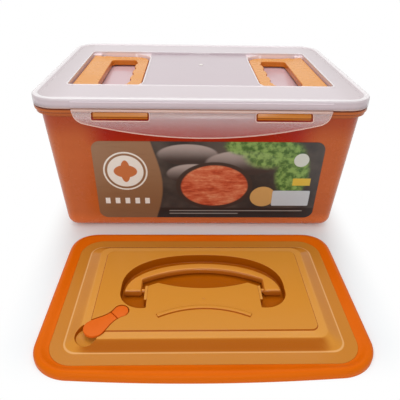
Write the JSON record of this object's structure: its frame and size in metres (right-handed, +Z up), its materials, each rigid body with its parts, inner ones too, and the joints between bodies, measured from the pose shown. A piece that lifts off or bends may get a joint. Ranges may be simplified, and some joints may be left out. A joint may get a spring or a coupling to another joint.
{
  "type": "kimchi container",
  "caption": "Rounded rectangular food tub with a latching lid, fold-down carrying handles and a separate press lid with wing seal, bow handle and vent tab.",
  "frame": {"origin": "middle of the tub's flat base", "axes": "+Z up, +X to the right across the label, -Y out of the labelled front wall"},
  "size_m": [0.316, 0.4188, 0.148],
  "materials": {
    "tub_plastic": "moulded, satin",
    "label_print": "printed film",
    "sticker_paper": "plain paper",
    "lid_plastic": "translucent, milky",
    "gasket_silicone": "silicone",
    "handle_plastic": "moulded, satin",
    "plate_plastic": "moulded, satin",
    "seal_silicone": "silicone",
    "vent_silicone": "silicone"
  },
  "bodies": {
    "tub_body": {"tub": "tub_plastic", "front_label": "label_print", "price_sticker": "sticker_paper"},
    "lid_body": {"lid_panel": "lid_plastic", "lid_gasket": "gasket_silicone"},
    "front_flap_body": {"front_flap": "lid_plastic"},
    "back_flap_body": {"back_flap": "lid_plastic"},
    "left_handle_body": {"left_handle": "handle_plastic"},
    "right_handle_body": {"right_handle": "handle_plastic"},
    "press_lid_body": {"press_plate": "plate_plastic", "press_seal": "seal_silicone", "vent_anchor": "vent_silicone"},
    "press_handle_body": {"press_handle": "plate_plastic"},
    "vent_tab_body": {"vent_tab": "vent_silicone"}
  },
  "joints": [
    {"name": "lid_lift", "type": "slide", "parent": "tub_body", "child": "lid_body", "axis": [0, 0, 1], "range_m": [0, 0.15]},
    {"name": "front_flap_hinge", "type": "hinge", "parent": "lid_body", "child": "front_flap_body", "pos_m": [0, -0.1173, 0.1371], "axis": [-1, 0, 0], "range_deg": [0, 135]},
    {"name": "back_flap_hinge", "type": "hinge", "parent": "lid_body", "child": "back_flap_body", "pos_m": [0, 0.1173, 0.1371], "axis": [1, 0, 0], "range_deg": [0, 135]},
    {"name": "left_handle_fold", "type": "hinge", "parent": "lid_body", "child": "left_handle_body", "pos_m": [-0.1255, 0, 0.14035], "axis": [0, -1, 0], "range_deg": [0, 90]},
    {"name": "right_handle_fold", "type": "hinge", "parent": "lid_body", "child": "right_handle_body", "pos_m": [0.1255, 0, 0.14035], "axis": [0, 1, 0], "range_deg": [0, 90]},
    {"name": "press_lid_lift", "type": "slide", "parent": "tub_body", "child": "press_lid_body", "axis": [0, 0, 1], "range_m": [0, 0.1]},
    {"name": "press_handle_fold", "type": "hinge", "parent": "press_lid_body", "child": "press_handle_body", "pos_m": [0, -0.2113, 0.0084], "axis": [1, 0, 0], "range_deg": [0, 90]},
    {"name": "vent_tab_bend", "type": "hinge", "parent": "press_lid_body", "child": "vent_tab_body", "pos_m": [-0.07242, -0.24368, 0.0118], "axis": [-0.6909, 0.723, 0], "range_deg": [0, 70]}
  ]
}
